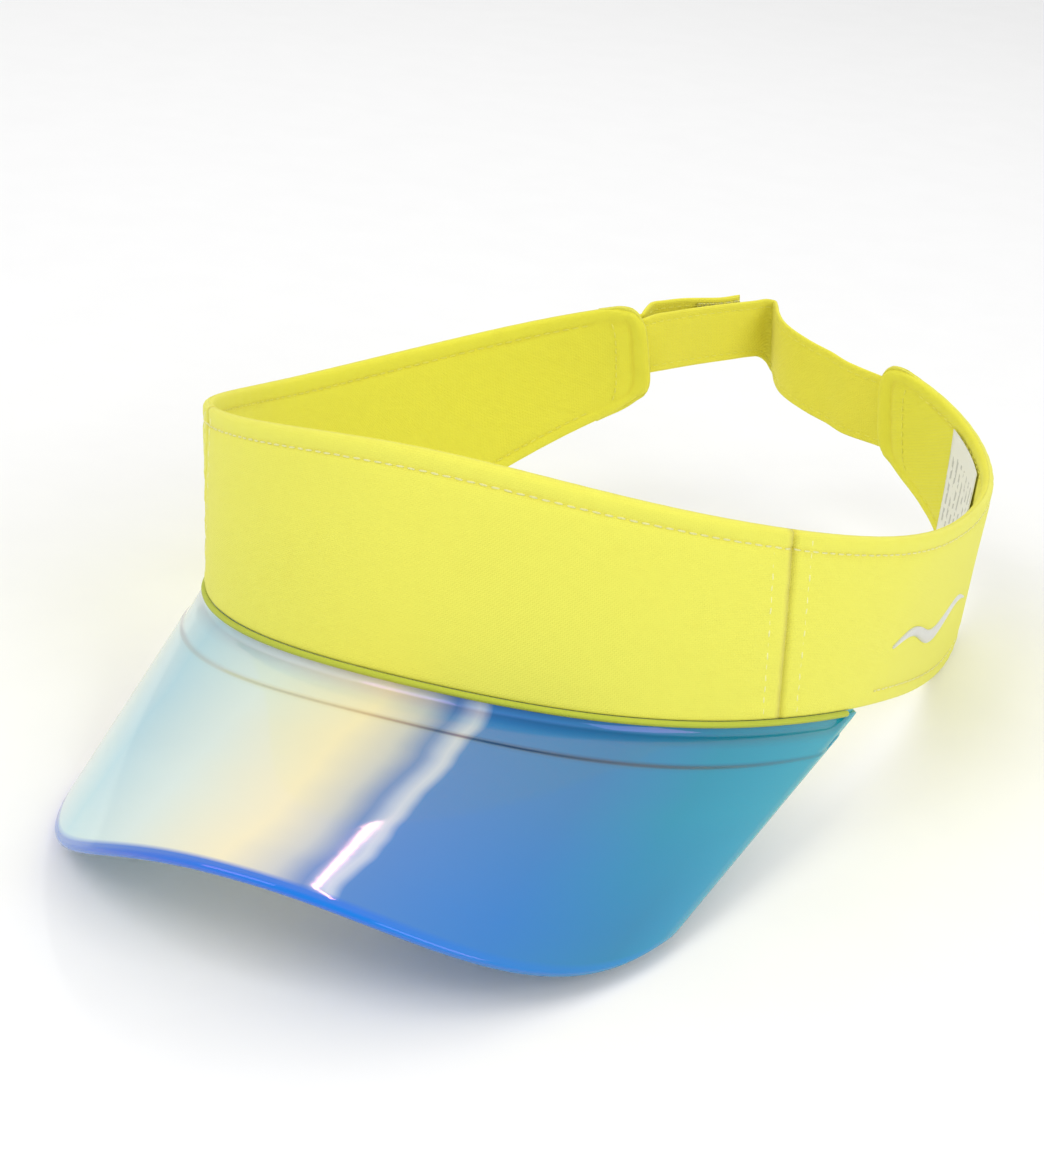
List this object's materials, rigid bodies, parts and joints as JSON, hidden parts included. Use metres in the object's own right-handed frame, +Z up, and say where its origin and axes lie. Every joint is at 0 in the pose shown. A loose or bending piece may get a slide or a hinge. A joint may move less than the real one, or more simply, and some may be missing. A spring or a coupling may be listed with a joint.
{
  "type": "sun visor",
  "caption": "Soft fabric sun visor with a curved transparent tinted brim and an adjustable hook-and-loop back strap.",
  "frame": {"origin": "middle of the bounding box in X and Y, at the surface the visor lies on", "axes": "+Z up, -Y the way the wearer looks (the brim), +X the wearer's left, with the visor lying on its wings and one tip of its brim"},
  "size_m": [0.1998, 0.3364, 0.0939],
  "materials": {
    "shell_cloth": "brushed polyester cloth, matt",
    "lining_cloth": "plain woven lining",
    "sweat_terry": "fine looped terry",
    "foam": "fused foam interlining",
    "brim_clear": "clear iridescent flexible vinyl, glossy",
    "piping_cloth": "folded binding",
    "strap_cloth": "covered webbing with stitched edges",
    "ring_plastic": "moulded, smooth",
    "hook_nylon": "hook-and-loop tape",
    "label_satin": "woven satin",
    "motif_thread": "satin-stitch embroidery"
  },
  "bodies": {
    "band": {"front_panel": "shell_cloth", "front_stiffener": "foam", "front_lining": "lining_cloth", "sweatband": "sweat_terry", "side_panel_left": "shell_cloth", "side_panel_right": "shell_cloth", "lining_left": "lining_cloth", "lining_right": "lining_cloth", "stiffener_left": "foam", "stiffener_right": "foam", "brim": "brim_clear", "brim_piping": "piping_cloth", "strap": "strap_cloth", "loop_pad": "hook_nylon", "ring_tab": "shell_cloth", "side_motif": "motif_thread"},
    "tail": {"strap_tail": "strap_cloth", "hook_pad": "hook_nylon"},
    "ring": {"slide_ring": "ring_plastic"},
    "label": {"care_label": "label_satin"}
  },
  "joints": [
    {"name": "tail_peel", "type": "hinge", "parent": "band", "child": "tail", "pos_m": [-0.03317, 0.12746, 0.04498], "axis": [0.0174, -0.275, 0.9613], "range_deg": [0, 140]},
    {"name": "ring_swing", "type": "hinge", "parent": "band", "child": "ring", "pos_m": [-0.0404, 0.12074, 0.05419], "axis": [0.0174, -0.275, 0.9613], "range_deg": [-4, 4]},
    {"name": "label_flip", "type": "hinge", "parent": "band", "child": "label", "pos_m": [0.08311, 0.10834, 0.05249], "axis": [-0.478, 0.8627, 0.1652], "range_deg": [0, 100]}
  ]
}
